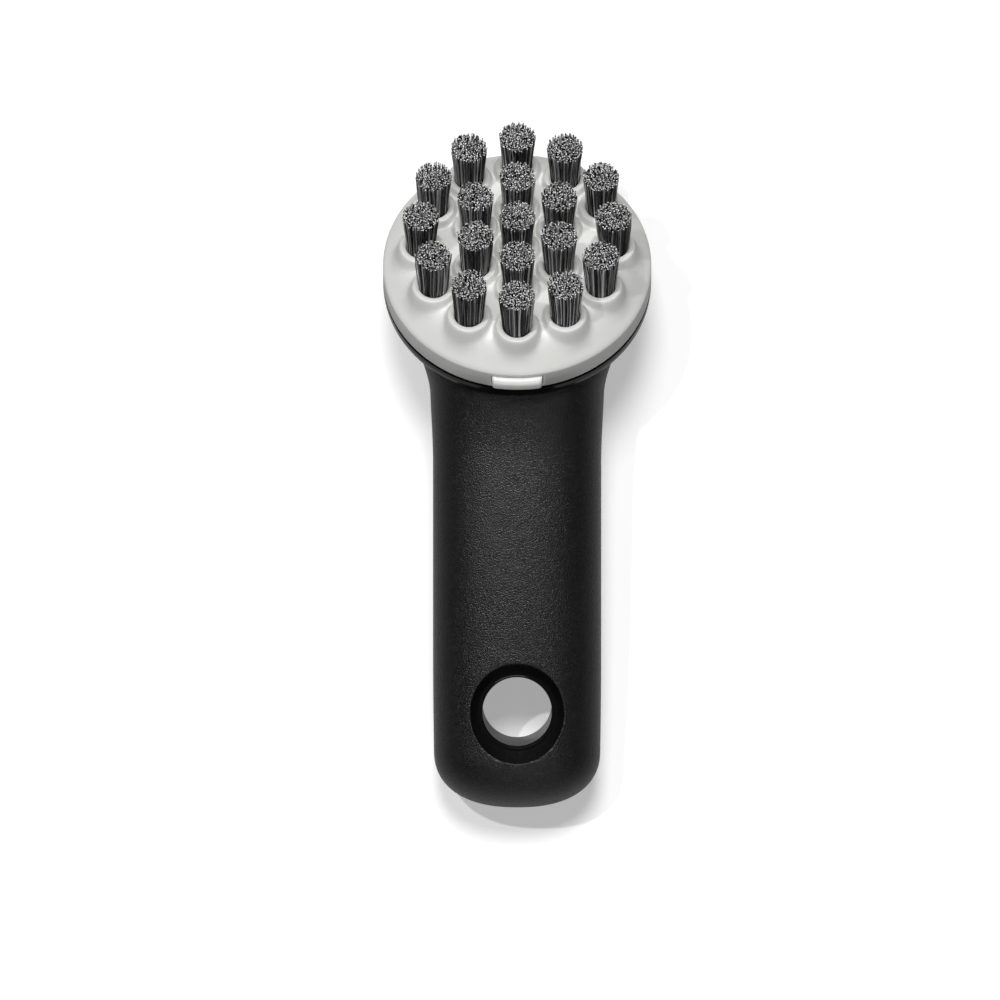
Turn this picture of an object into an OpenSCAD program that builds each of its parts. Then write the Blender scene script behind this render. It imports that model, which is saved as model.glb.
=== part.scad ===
// Hand-held grill brush with a tilted round head of nylon tufts, lying on its back with the tufts up.
// The head's plate is a cartridge: a sprung tab lets it go, and it pulls off square to its own plane.
// X is the width, +Y runs from the handle's end to the head, and Z is the height above the surface.

/* [Head] */
// Radius of the bristle plate and of the cup under it
head_r = 25.9; // [25:0.1:28]
// Height of the plate's upright rim band
rim_h = 4.6; // [4.2:0.1:5.5]
// Rise of the plate's flat top above the rim band
dome_rise = 5; // [4.6:0.1:6]
// Tilt of the head away from the handle, in degrees
head_tilt = 34.4; // [31:0.2:38]
// Distance from the handle's end to the middle of the head
head_y = 102.3; // [96:0.1:112]

/* [Tufts] */
// Tufts in the inner ring
inner_tufts = 6; // [5:1:6]
// Tufts in the outer ring
outer_tufts = 12; // [10:1:12]
// Distance from the plate's rim in to the middle of the outer tufts
rim_margin = 7.3; // [7:0.05:7.7]
// Radius of the collar round each tuft
collar_r = 4.3; // [3.8:0.05:4.5]
// Rise of each collar above the plate's flat top
collar_rise = 1.4; // [0.8:0.1:2.5]
// Radius of a tuft where it leaves its collar
tuft_r = 2.85; // [2.4:0.05:3]
// Radius of a tuft at its spread tips
tuft_tip_r = 3.65; // [3:0.05:4.2]
// Free length of a tuft above its collar
tuft_len = 10.3; // [6:0.1:16]
// Half the thickness of one strand
strand_r = 0.4; // [0.25:0.05:0.42]

/* [Handle] */
// Width of the handle
handle_w = 32.5; // [30:0.1:36]
// Thickness of the handle
handle_t = 20.6; // [18.5:0.1:24]
// Length of the rounded stretch at the handle's end
end_len = 12.7; // [10:0.1:16]
// Radius of the long arch that the handle follows
arch_r = 500; // [350:10:900]
// Height of the soft fillet where the neck's top meets the cup
neck_rise = 2.9; // [2:0.1:4]
// Widening of the handle before it flares into the cup
neck_spread = 0.6; // [0:0.1:1.2]

/* [Hanging hole] */
// Distance of the hole from the handle's end
hole_y = 19.4; // [17:0.1:24]
// Radius of the hole
hole_r = 6.7; // [4:0.1:7]
// Width of the hard ring that shows round the hole
ring_w = 0.95; // [0.5:0.05:1.3]
// Radius of the recess where it meets the handle's face
recess_r = 9.7; // [9.2:0.05:10.5]
// Depth of the recess on each face
recess_depth = 3.4; // [2.4:0.1:4]

/* [Release tab] */
// Width of the release tab
tab_w = 9.7; // [8:0.1:11]
// Distance that the tab stands out of the rim
tab_out = 1.2; // [0.9:0.05:2]
// Thickness of the tab
tab_t = 2.5; // [2:0.05:2.6]
// Travel of the tab when it is pressed
tab_travel = 1.2; // [1:0.05:1.4]

/* [Hidden] */
overrun = 1;
$fn = 64;

// Colours as the photograph shows them
core_colour = [0.03, 0.03, 0.035];
grip_colour = [0.11, 0.11, 0.12];
plate_colour = [0.80, 0.80, 0.78];
tab_colour = [0.90, 0.90, 0.89];
strand_colour = [0.25, 0.25, 0.26];
steel_colour = [0.62, 0.63, 0.65];

// Cup: the dish that the plate sits in
cup_wall = 2.4;
cup_upright = 1.5;
cup_round = 3.5;
cup_belly_share = 0.47;
cup_belly_z = -8.5;
cup_back_z = -9;
cup_floor_z = -3.5;
seat_gap = 0.05;
reveal_w = 0.6;
reveal_h = 0.5;
cup_in_r = head_r - cup_wall;

// Plate: levels above the parting plane, walls and the spigot that enters the cup
plateau_z = rim_h + dome_rise;
collar_z = plateau_z + collar_rise;
tip_z = collar_z + tuft_len;
plate_top_t = 2.5;
roof_drop = 0.6;
shoulder_cut = 2.6;
crease_cut = 0.6;
curve_steps = 6;
spigot_clear = 0.3;
spigot_t = 1.5;
spigot_h = 3;
spigot_r = cup_in_r - spigot_clear;
cavity_r = spigot_r - spigot_t;
boss_inset = 0.3;
boss_r = collar_r - boss_inset;
boss_z = 3.6;
hole_floor_t = 1.3;
tuft_floor_z = boss_z + hole_floor_t;
collar_edge = 0.9;
collar_edge_steps = 3;
foot_fillet = 0.8;
foot_rise = 0.4;
foot_sink = 0.2;

// Tufts: rows of strands on a root plug, folded over a flat staple
root_clear = 0.05;
mouth_inset = 0.5;
strand_root = 0.9;
ragged = 0.45;
strand_rows = 2;
strands_per_row = [7, 13];
row_shares = [0.5, 0.96];
strand_sides = 4;
staple_t = 0.5;
staple_h = 1.4;
staple_bite = 0.7;
staple_z = tuft_floor_z + staple_t;
plug_z = collar_z - mouth_inset;
hole_wall_r = tuft_r + root_clear;
inner_ring_share = 0.5;
outer_ring_r = head_r - rim_margin;
inner_ring_r = inner_ring_share * outer_ring_r;

// Latch: the tab slides in guides under the plate, and its tooth hooks under the cup's lip
tab_clear = 0.15;
tab_top_z = boss_z - tab_clear;
tab_bottom_z = tab_top_z - tab_t;
tab_in_y = 12.4;
tab_corner = 1.3;
tab_edge = 0.5;
tab_brow = 1.1;
leg_w_share = 0.6;
leg_w = leg_w_share * tab_w;
tooth_bite = 0.8;
tooth_h = 0.95;
lip_h = 0.95;
leg_t = 1.3;
leg_r = cup_in_r - 2 * tab_clear - leg_t / 2;
rail_t = 1.2;
rail_lip_t = 0.9;
rail_lip_w = 1.2;
rail_near_y = 13.2;
rail_far_y = 19.6;
pocket_clear = 0.25;
tooth_top_z = -lip_h - seat_gap - tab_clear;

// Spring behind the tab
spring_r = 1;
wire_r = 0.2;
spring_turns = 5;
rings_per_turn = 8;
wire_sides = 6;
spring_seat_t = 1.2;
spring_seat_w = 4.4;
spring_seat_y = 6.4;
spring_z = tab_bottom_z + tab_t / 2;
spring_len = tab_in_y - spring_seat_y;

// Handle: shares of the section's superellipse and of the spine inside the soft skin
section_curve_share = 3;
keel_curve_share = 2;
end_curve_share = 2.5;
end_t_curve_share = 2.2;
end_t_len = 9.5;
arch_top_share = 0.72;
flare_share = 0.86;
rise_share = 1.38;
keel_share = 0.25;
keel_w_share = 0.815;
keel_end_share = 0.44;
arch_top_y = head_y - arch_top_share * head_r;
flare_y = head_y - flare_share * head_r;
rise_y = head_y - rise_share * head_r;
keel_y = head_y - keel_share * head_r;
keel_w = keel_w_share * head_r;
keel_end_y = head_y + keel_end_share * head_r;
keel_drop = 1.6;
neck_depth = 1.4;
ring_points = 40;
spine_w = 24;
spine_skin = 4;
spine_start_y = 9.5;
boss_skirt = 1.9;
lip_round = 0.5;

// Where the head and the handle rest on the surface, and how far the whole part reaches
head_z = sin(head_tilt) * (head_r - cup_round) + cos(head_tilt) * cup_upright + cup_round;
end_drops = [for (y = [end_t_len / 2 : end_t_len / 40 : end_t_len])
    arch_sag(y) + handle_t / 2 * end_t_share(y)];
arch_z = max(end_drops);
reach_y = head_y + cos(head_tilt) * (outer_ring_r + tuft_tip_r) + sin(head_tilt) * tip_z;
hole_tilt = asin((arch_top_y - hole_y) / arch_r);
hole_z = arch_z - arch_sag(hole_y);
hole_half = handle_t / 2 - recess_depth;

// Sag of the handle's middle line below the arch's top
function arch_sag(y) = pow(arch_top_y - y, 2) / (2 * arch_r);
// Smooth step from 0 to 1
function ease(t) = t <= 0 ? 0 : t >= 1 ? 1 : t * t * (3 - 2 * t);
// Superellipse rise from 0 at the tip to 1 after a length
function cap_share(y, length, curve) =
    y >= length ? 1 : pow(1 - pow((length - y) / length, curve), 1 / curve);
function end_t_share(y) = cap_share(y, end_t_len, end_t_curve_share);
// Height of the parting plane over a place along the part
function parting_z(y) = head_z + (head_y - y) * tan(head_tilt);
// A point of the head's middle plane, given square to the head, in the part's side view
function head_point(y, z) = [
    head_y + cos(head_tilt) * y + sin(head_tilt) * z,
    head_z - sin(head_tilt) * y + cos(head_tilt) * z
];
// Points of a soft corner between two straight lines
function soft_corner(a, b, c, steps = curve_steps) = [for (i = [0:steps])
    let (t = i / steps) (1 - t) * (1 - t) * a + 2 * t * (1 - t) * b + t * t * c];
// Points of an arc about a middle point
function arc_points(centre, r, from, to) = [for (i = [0:curve_steps])
    let (a = from + (to - from) * i / curve_steps) centre + r * [cos(a), sin(a)]];

// Half the width of the grip, its top and its underside, along the part
function grip_half_w(y) = y < keel_y
    ? handle_w / 2 * cap_share(y, end_len, end_curve_share)
        + neck_spread * ease((y - rise_y) / (arch_top_y - rise_y))
        + (keel_w - neck_spread - handle_w / 2) * ease((y - flare_y) / (keel_y - flare_y))
    : keel_w * sqrt(max(0, 1 - pow((y - keel_y) / (keel_end_y - keel_y), 2)));
function grip_top(y) = y < rise_y
    ? arch_z - arch_sag(y) + handle_t / 2 * end_t_share(y)
    : min(
        arch_z - arch_sag(min(y, arch_top_y)) + handle_t / 2
            + neck_rise * pow((y - rise_y) / (arch_top_y - rise_y), 2),
        parting_z(y) - neck_depth
    );
function grip_bottom(y) = arch_z - arch_sag(min(y, arch_top_y)) - handle_t / 2 * end_t_share(y)
    - keel_drop * ease((y - arch_top_y) / (keel_end_y - arch_top_y));

// Stations of the grip: close together at its end, even along it, close again under the head
end_steps = 9;
body_steps = 6;
neck_steps = 4;
flare_steps = 10;
keel_steps = 6;
stations = concat(
    [for (i = [1:end_steps]) end_len * (1 - cos(90 * i / end_steps))],
    [for (i = [1:body_steps]) end_len + (rise_y - end_len) * i / body_steps],
    [for (i = [1:neck_steps]) rise_y + (flare_y - rise_y) * i / neck_steps],
    [for (i = [1:flare_steps]) flare_y + (keel_y - flare_y) * i / flare_steps],
    [for (i = [1:keel_steps - 1]) keel_y + (keel_end_y - keel_y) * sin(90 * i / keel_steps)]
);

// How square the grip's section is: squarish along the handle, an ellipse where its keel ends
function section_curve(y) = section_curve_share
    + (keel_curve_share - section_curve_share) * ease((y - flare_y) / (keel_end_y - flare_y));

// One ring of the grip's skin
function grip_ring(y) = let (
    top = grip_top(y),
    low = grip_bottom(y),
    curve = 2 / section_curve(y)
) [for (i = [0:ring_points - 1])
    let (a = 360 * i / ring_points) [
        grip_half_w(y) * sign(cos(a)) * pow(abs(cos(a)), curve),
        y,
        (top + low) / 2 + (top - low) / 2 * sign(sin(a)) * pow(abs(sin(a)), curve)
    ]];

// Sets the part on its frame: the origin is under the middle of the whole outline
module placed() {
    translate([0, -reach_y / 2, 0]) children();
}

// Work space of the head: origin on its axis at the parting plane, Z out along the tufts
module on_head() {
    placed() translate([0, head_y, head_z]) rotate([-head_tilt, 0, 0]) children();
}

// Work space of the hanging hole: origin in its middle, Z along its axis
module on_hole() {
    placed() translate([0, hole_y, hole_z]) rotate([hole_tilt, 0, 0]) children();
}

// A box centred on X, between two places along Y and two levels
module bar(w, y_from, y_to, z_from, z_to) {
    translate([-w / 2, y_from, z_from]) cube([w, y_to - y_from, z_to - z_from]);
}

// Repeats a shape at each tuft's place
module at_tufts() {
    children();
    for (i = [1:inner_tufts]) rotate(inner_angle(i)) translate([inner_ring_r, 0, 0]) children();
    for (i = [1:outer_tufts]) rotate(outer_angle(i)) translate([outer_ring_r, 0, 0]) children();
}

function inner_angle(i) = 90 + 360 * i / inner_tufts;
function outer_angle(i) = 90 + 360 * i / outer_tufts;

// Outer form of the cup, filled up to a level over its rim
module cup_form(top_z) {
    rotate_extrude() polygon(concat(
        [[0, top_z], [head_r, top_z]],
        arc_points([head_r - cup_round, -cup_upright], cup_round, 0, -90),
        [[cup_belly_share * head_r, cup_belly_z], [0, cup_back_z]]
    ));
}

// Hollow of the cup that takes the plate's spigot
module cup_hollow() {
    translate([0, 0, cup_floor_z]) cylinder(r = cup_in_r, h = overrun - cup_floor_z);
}

// Arched bar through the handle that widens into the back of the cup
module spine() {
    half = handle_t / 2 - spine_skin;
    ys = [for (i = [0:body_steps]) spine_start_y + (arch_top_y - spine_start_y) * i / body_steps];
    top = [for (y = ys) [y, arch_z - arch_sag(y) + half]];
    low = [for (i = [body_steps:-1:0]) [ys[i], arch_z - arch_sag(ys[i]) - half]];
    placed() rotate([90, 0, 90]) linear_extrude(spine_w, center = true) polygon(concat(
        top,
        [head_point(0, cup_floor_z - overrun), head_point(cup_round, cup_belly_z / 2)],
        [head_point(cup_round, cup_belly_z)],
        low
    ));
}

// Sleeve round the hanging hole, with its lips rounded at both faces
module hole_sleeve() {
    lip = [for (a = [0:30:90]) [hole_r + lip_round * (1 - cos(a)), hole_half - lip_round * (1 - sin(a))]];
    upper = lip;
    lower = [for (i = [len(lip) - 1:-1:0]) [lip[i].x, -lip[i].y]];
    rotate_extrude() polygon(concat(
        upper,
        [[hole_r + boss_skirt, hole_half], [hole_r + boss_skirt, -hole_half]],
        lower
    ));
}

// Hard core of the handle: cup, spine and the sleeve of the hanging hole, moulded in one
module handle_core() {
    color(core_colour) difference() {
        union() {
            on_head() cup_form(-seat_gap);
            spine();
            on_hole() hole_sleeve();
        }
        on_head() cup_hollow();
        on_head() latch_pocket();
        on_head() rim_reveal();
        on_hole() cylinder(r = hole_r, h = handle_t, center = true);
    }
}

// Shadow groove round the cup's rim, under the plate
module rim_reveal() {
    translate([0, 0, -reveal_h - seat_gap]) difference() {
        cylinder(r = head_r + overrun, h = reveal_h + overrun);
        translate([0, 0, -overrun]) cylinder(r = head_r - reveal_w, h = reveal_h + 3 * overrun);
    }
}

// Pocket in the cup's wall under a thin lip, where the tab's tooth hooks in
module latch_pocket() {
    pocket_w = leg_w + 2 * pocket_clear;
    bar(
        pocket_w,
        -(cup_in_r + tooth_bite + pocket_clear),
        -(cup_in_r - overrun),
        tooth_top_z - tooth_h - pocket_clear,
        -lip_h - seat_gap
    );
}

// Recess on one face of the hanging hole, from the sleeve's ring out through the skin
module hole_recess() {
    slope = (recess_r - hole_r - ring_w) / recess_depth;
    depth = recess_depth + 2 * overrun;
    translate([0, 0, hole_half])
        cylinder(r1 = hole_r + ring_w, r2 = hole_r + ring_w + slope * depth, h = depth);
}

// Soft skin moulded over the core, from the handle's end to the back of the cup
module grip() {
    rings = [for (y = stations) grip_ring(y)];
    ends = [
        [0, 0, (grip_top(stations[0]) + grip_bottom(stations[0])) / 2],
        [0, keel_end_y, (grip_top(keel_end_y) + grip_bottom(keel_end_y)) / 2]
    ];
    points = concat([for (ring = rings) each ring], ends);
    last = len(stations) - 1;
    start_pole = len(points) - 2;
    end_pole = len(points) - 1;
    skin = [for (s = [0:last - 1], i = [0:ring_points - 1])
        let (
            a = s * ring_points + i,
            b = s * ring_points + (i + 1) % ring_points,
            c = a + ring_points,
            d = b + ring_points
        ) each [[a, b, d], [a, d, c]]];
    start_cap = [for (i = [0:ring_points - 1]) [start_pole, (i + 1) % ring_points, i]];
    end_cap = [for (i = [0:ring_points - 1])
        [end_pole, last * ring_points + i, last * ring_points + (i + 1) % ring_points]];
    color(grip_colour) difference() {
        placed() polyhedron(points, concat(skin, start_cap, end_cap));
        on_head() cup_form(overrun);
        spine();
        on_hole() cylinder(r = hole_r + boss_skirt, h = 2 * hole_half, center = true);
        on_hole() hole_recess();
        on_hole() rotate([180, 0, 0]) hole_recess();
        on_hole() cylinder(r = hole_r + ring_w / 2, h = 2 * handle_t, center = true);
    }
}

// Outline of the plate from its axis to its rim, with a soft shoulder and crease
module plate_form() {
    shoulder_r = head_r - dome_rise;
    diagonal = [1, -1] / sqrt(2);
    rotate_extrude() polygon(concat(
        [[0, 0], [0, plateau_z]],
        soft_corner(
            [shoulder_r - shoulder_cut, plateau_z],
            [shoulder_r, plateau_z],
            [shoulder_r, plateau_z] + shoulder_cut * diagonal
        ),
        soft_corner([head_r, rim_h] - crease_cut * diagonal, [head_r, rim_h], [head_r, rim_h - crease_cut]),
        [[head_r, 0]]
    ));
}

// Hollow under the plate, one wall thickness inside its form
module plate_hollow() {
    roof_z = plateau_z - plate_top_t;
    wall_z = boss_z + roof_drop;
    rotate_extrude() polygon([
        [0, -overrun],
        [0, roof_z],
        [cavity_r - (roof_z - wall_z), roof_z],
        [cavity_r, wall_z],
        [cavity_r, -overrun]
    ]);
}

// Collar that stands round a tuft, with a soft foot on the plate's flat top
module collar(foot) {
    rotate_extrude() polygon(concat(
        [[0, boss_z], [0, collar_z]],
        soft_corner(
            [collar_r - collar_edge, collar_z],
            [collar_r, collar_z],
            [collar_r, collar_z - collar_edge],
            collar_edge_steps
        ),
        foot ? soft_corner(
            [collar_r, plateau_z + foot_rise],
            [collar_r, plateau_z],
            [collar_r + foot_fillet, plateau_z - foot_sink]
        ) : [],
        [[collar_r, plateau_z - foot_fillet / 2], [collar_r, boss_z + plate_top_t], [boss_r, boss_z]]
    ));
}

// Collars and the bosses under them, at each tuft
module collars() {
    collar(true);
    for (i = [1:inner_tufts]) rotate(inner_angle(i)) translate([inner_ring_r, 0, 0]) collar(true);
    for (i = [1:outer_tufts]) rotate(outer_angle(i)) translate([outer_ring_r, 0, 0]) collar(false);
}

// Guides that carry the tab under the plate, and the seat of its spring
module tab_guides() {
    inner_w = tab_w + 2 * tab_clear;
    outer_w = inner_w + 2 * rail_t;
    slot_w = inner_w - 2 * rail_lip_w;
    low_z = tab_bottom_z - tab_clear - rail_lip_t;
    high_z = plateau_z - plate_top_t / 2;
    difference() {
        bar(outer_w, -rail_far_y, -rail_near_y, low_z, high_z);
        bar(inner_w, -rail_far_y - overrun, -rail_near_y + overrun, low_z + rail_lip_t, boss_z);
        bar(slot_w, -rail_far_y - overrun, -rail_near_y + overrun, low_z - overrun, boss_z);
    }
    bar(spring_seat_w, -spring_seat_y, -spring_seat_y + spring_seat_t, tab_bottom_z, high_z);
}

// Opening for the tab through the rim and the spigot
module tab_window() {
    w = tab_w + 2 * tab_clear;
    leg_slot_w = leg_w + 2 * tab_clear;
    bar(w, -head_r - overrun, -cavity_r + overrun, tab_bottom_z - tab_clear, tab_top_z + tab_clear);
    bar(leg_slot_w, -spigot_r - overrun, -cavity_r + overrun, -spigot_h - overrun, tab_bottom_z);
}

// Staple that holds a tuft in its hole
module staple() {
    length = 2 * (hole_wall_r + staple_bite);
    translate([-length / 2, -staple_t / 2, staple_z]) cube([length, staple_t, staple_h]);
}

// Slots that the staples bite into, at each tuft
module at_staples() {
    children();
    for (i = [1:inner_tufts]) translate(tuft_place(inner_ring_r, inner_angle(i))) children();
    for (i = [1:outer_tufts]) translate(tuft_place(outer_ring_r, outer_angle(i))) children();
}

function tuft_place(r, angle) = [r * cos(angle), r * sin(angle), 0];

// Light plate with a collar, boss and blind hole for each tuft
module brush_plate() {
    color(plate_colour) on_head() difference() {
        union() {
            difference() {
                plate_form();
                plate_hollow();
            }
            collars();
            tab_guides();
            difference() {
                translate([0, 0, -spigot_h]) cylinder(r = spigot_r, h = spigot_h + rim_h / 2);
                translate([0, 0, -spigot_h - overrun])
                    cylinder(r = cavity_r, h = spigot_h + rim_h + overrun);
            }
        }
        at_tufts() translate([0, 0, tuft_floor_z]) cylinder(r = hole_wall_r, h = collar_z);
        at_staples() staple();
        tab_window();
    }
}

// All the staples, one across each tuft's fold
module tuft_anchors() {
    color(steel_colour) on_head() at_staples() staple();
}

// One strand: a slim prism that leans out from its root to its spread tip
module strand(root, tip, length, turn) {
    low = plug_z - strand_root;
    high = collar_z + length;
    corners = [for (i = [0:strand_sides - 1])
        let (a = turn + 360 * i / strand_sides) strand_r * [cos(a), sin(a)]];
    points = concat(
        [for (c = corners) [root.x + c.x, root.y + c.y, low]],
        [for (c = corners) [tip.x + c.x, tip.y + c.y, high]]
    );
    sides = [for (i = [0:strand_sides - 1])
        let (j = (i + 1) % strand_sides)
        each [[i, i + strand_sides, j], [j, i + strand_sides, j + strand_sides]]];
    caps = [for (i = [1:strand_sides - 2])
        each [[0, i, i + 1], [strand_sides, strand_sides + i + 1, strand_sides + i]]];
    polyhedron(points, concat(sides, caps));
}

// A tuft: rows of strands that spread and end a little raggedly, fused to their root plug
module tuft(place, turn, seed) {
    lengths = rands(tuft_len - ragged, tuft_len, 1 + sum_of(strands_per_row), seed);
    color(strand_colour) on_head() translate(place) {
        difference() {
            translate([0, 0, tuft_floor_z + root_clear])
                cylinder(r = tuft_r, h = plug_z - tuft_floor_z - root_clear);
            translate([0, 0, -root_clear]) staple_slot();
        }
        strand([0, 0], [0, 0], lengths[0], turn);
        for (row = [0:strand_rows - 1], i = [0:strands_per_row[row] - 1]) {
            angle = turn + 360 * i / strands_per_row[row];
            root_r = row_shares[row] * (tuft_r - strand_r);
            tip_r = row_shares[row] * (tuft_tip_r - strand_r);
            strand(
                root_r * [cos(angle), sin(angle)],
                tip_r * [cos(angle), sin(angle)],
                lengths[1 + i + (row == 0 ? 0 : strands_per_row[0])],
                angle
            );
        }
    }
}

function sum_of(list) = [for (i = 0, total = list[0]; i < len(list);
    i = i + 1, total = total + (i < len(list) ? list[i] : 0)) total][len(list) - 1];

// Way for the staple through a tuft's root
module staple_slot() {
    translate([-tuft_r - overrun, -staple_t / 2 - root_clear, staple_z])
        cube([2 * (tuft_r + overrun), staple_t + 2 * root_clear, staple_h + 2 * root_clear]);
}

// Sprung tab: a thumb button that follows the rim's curve, a slide under the plate and a tooth below
module release_tab() {
    out_y = head_r + tab_out;
    w = tab_w / 2;
    leg_out = leg_r + leg_t / 2;
    tooth_low = tooth_top_z - tooth_h;
    foot_z = tab_bottom_z + tab_edge;
    side = concat(
        [[0, tab_bottom_z], [0, tab_top_z]],
        soft_corner([out_y - tab_brow, tab_top_z], [out_y, tab_top_z], [out_y, tab_top_z - tab_brow]),
        soft_corner([out_y, foot_z], [out_y, tab_bottom_z], [out_y - tab_edge, tab_bottom_z])
    );
    leg = [
        [leg_out, spring_z],
        [leg_out, tooth_top_z],
        [cup_in_r + tooth_bite, tooth_top_z],
        [leg_out, tooth_low],
        [leg_out - leg_t, tooth_low],
        [leg_out - leg_t, spring_z]
    ];
    plan = concat(
        [[-w, -tab_in_y], [-w, tab_corner - out_y]],
        soft_corner([-w, tab_corner - out_y], [-w, -out_y], [tab_corner - w, -out_y]),
        soft_corner([w - tab_corner, -out_y], [w, -out_y], [w, tab_corner - out_y]),
        [[w, -tab_in_y]]
    );
    color(tab_colour) on_head() {
        intersection() {
            rotate_extrude() polygon(side);
            translate([0, 0, tab_bottom_z - overrun]) linear_extrude(tab_t + 2 * overrun) polygon(plan);
        }
        rotate([90, 0, -90]) linear_extrude(leg_w, center = true) polygon(leg);
    }
}

// Return spring behind the tab: one unbroken wire with straight ends
module tab_spring() {
    steps = spring_turns * rings_per_turn;
    straight = 2 * wire_r;
    pitch = (spring_len - 2 * straight) / spring_turns;
    path = concat(
        [[spring_r, 0, 0]],
        [for (i = [0:steps])
            let (a = 360 * i / rings_per_turn)
            [spring_r * cos(a), spring_r * sin(a), straight + pitch * i / rings_per_turn]],
        [[spring_r, 0, spring_len]]
    );
    turn_gap = pitch - 2 * wire_r;
    echo(least_gap_of_the_spring_to_itself = turn_gap);
    color(steel_colour) on_head() translate([0, -spring_seat_y, spring_z]) rotate([90, 0, 0]) wire(path);
}

// A round wire swept along a path of points
module wire(path) {
    last = len(path) - 1;
    rings = [for (i = [0:last])
        let (
            along = path[min(i + 1, last)] - path[max(i - 1, 0)],
            flat = [path[i].x, path[i].y, 0] / norm([path[i].x, path[i].y, 0]),
            across = cross(along / norm(along), flat),
            out = cross(across, along / norm(along))
        ) [for (k = [0:wire_sides - 1])
            let (a = 360 * k / wire_sides) path[i] + wire_r * (cos(a) * out + sin(a) * across)]];
    skin = [for (i = [0:last - 1], k = [0:wire_sides - 1])
        let (
            a = i * wire_sides + k,
            b = i * wire_sides + (k + 1) % wire_sides
        ) each [[a, b, b + wire_sides], [a, b + wire_sides, a + wire_sides]]];
    caps = [for (k = [1:wire_sides - 2])
        each [
            [0, k + 1, k],
            [last * wire_sides, last * wire_sides + k, last * wire_sides + k + 1]
        ]];
    polyhedron([for (ring = rings) each ring], concat(skin, caps));
}

handle_core();
grip();
brush_plate();
tuft_anchors();
release_tab();
tab_spring();
tuft([0, 0, 0], 0, 1);  // tuft_centre
for (i = [1:inner_tufts])
    tuft(tuft_place(inner_ring_r, inner_angle(i)), inner_angle(i), 10 + i);
for (i = [1:outer_tufts])
    tuft(tuft_place(outer_ring_r, outer_angle(i)), outer_angle(i), 20 + i);
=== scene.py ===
import math

import bmesh
import bpy
import numpy as np
from mathutils import Matrix, Vector
from mathutils.geometry import delaunay_2d_cdt


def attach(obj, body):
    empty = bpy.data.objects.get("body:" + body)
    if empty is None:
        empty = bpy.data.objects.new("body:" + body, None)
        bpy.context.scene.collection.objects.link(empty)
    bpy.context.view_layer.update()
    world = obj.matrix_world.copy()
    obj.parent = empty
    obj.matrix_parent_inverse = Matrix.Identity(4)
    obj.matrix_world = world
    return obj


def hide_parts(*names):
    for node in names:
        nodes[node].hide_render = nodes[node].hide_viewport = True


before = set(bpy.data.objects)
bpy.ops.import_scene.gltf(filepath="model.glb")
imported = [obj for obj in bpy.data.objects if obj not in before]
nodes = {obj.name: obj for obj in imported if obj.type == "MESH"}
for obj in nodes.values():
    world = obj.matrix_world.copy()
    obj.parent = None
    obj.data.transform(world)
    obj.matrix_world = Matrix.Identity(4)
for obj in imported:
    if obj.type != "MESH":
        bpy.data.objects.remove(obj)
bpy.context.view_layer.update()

# The hard core of the handle: the cup that holds the bristle plate, the spine inside the grip and the
# sleeve of the hanging hole. It is one black polypropylene moulding, polished where it shows: round the
# cup's rim, on the ring of the hanging hole and down the hole's wall.

CORE_BLACK = (0.0045, 0.0045, 0.005)
CORE_POLISH = (0.07, 0.17)
CORE_SHINE = 0.15
SMEAR_SIZE = 0.006
SMEAR_DETAIL = 4.0
FACTOR_LOW = 0.3
FACTOR_HIGH = 0.7


def plastic(name, colour, roughness, shine=0.5):
    """A plain plastic whose colour and polish are set on its shader."""
    material = bpy.data.materials.new(name)
    material.use_nodes = True
    shader = material.node_tree.nodes["Principled BSDF"]
    shader.inputs["Base Color"].default_value = (*colour, 1)
    shader.inputs["Roughness"].default_value = roughness
    shader.inputs["Specular IOR Level"].default_value = shine
    return material


def noise_over(material, size, detail=2.0):
    """Noise over the piece's own place, with features of about the given size in metres."""
    tree = material.node_tree
    place = tree.nodes.new("ShaderNodeTexCoord")
    noise = tree.nodes.new("ShaderNodeTexNoise")
    noise.inputs["Scale"].default_value = 1 / size
    noise.inputs["Detail"].default_value = detail
    tree.links.new(place.outputs["Object"], noise.inputs["Vector"])
    return noise.outputs["Fac"]


def vary(material, factor, socket, low, high):
    """Runs a number of the shader from low to high with a factor."""
    tree = material.node_tree
    spread = tree.nodes.new("ShaderNodeMapRange")
    spread.inputs["From Min"].default_value = FACTOR_LOW
    spread.inputs["From Max"].default_value = FACTOR_HIGH
    spread.inputs["To Min"].default_value = low
    spread.inputs["To Max"].default_value = high
    tree.links.new(factor, spread.inputs["Value"])
    tree.links.new(spread.outputs["Result"], tree.nodes["Principled BSDF"].inputs[socket])


def tint(material, factor, dark, light):
    """Runs the shader's colour from dark to light with a factor."""
    tree = material.node_tree
    ramp = tree.nodes.new("ShaderNodeValToRGB")
    ramp.color_ramp.elements[0].position = FACTOR_LOW
    ramp.color_ramp.elements[0].color = (*dark, 1)
    ramp.color_ramp.elements[1].position = FACTOR_HIGH
    ramp.color_ramp.elements[1].color = (*light, 1)
    tree.links.new(factor, ramp.inputs["Fac"])
    tree.links.new(ramp.outputs["Color"], tree.nodes["Principled BSDF"].inputs["Base Color"])


def emboss(material, factor, depth):
    """Raises the surface by a factor, up to a depth in metres."""
    tree = material.node_tree
    bump = tree.nodes.new("ShaderNodeBump")
    bump.inputs["Distance"].default_value = depth
    tree.links.new(factor, bump.inputs["Height"])
    tree.links.new(bump.outputs["Normal"], tree.nodes["Principled BSDF"].inputs["Normal"])


def dress(piece, *materials):
    """Gives a piece its materials in place of the ones that it came with."""
    piece.data.materials.clear()
    for material in materials:
        piece.data.materials.append(material)


core_plastic = plastic("core_black", CORE_BLACK, CORE_POLISH[0], CORE_SHINE)
vary(core_plastic, noise_over(core_plastic, SMEAR_SIZE, SMEAR_DETAIL), "Roughness", *CORE_POLISH)
dress(nodes["handle_core"], core_plastic)

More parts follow.
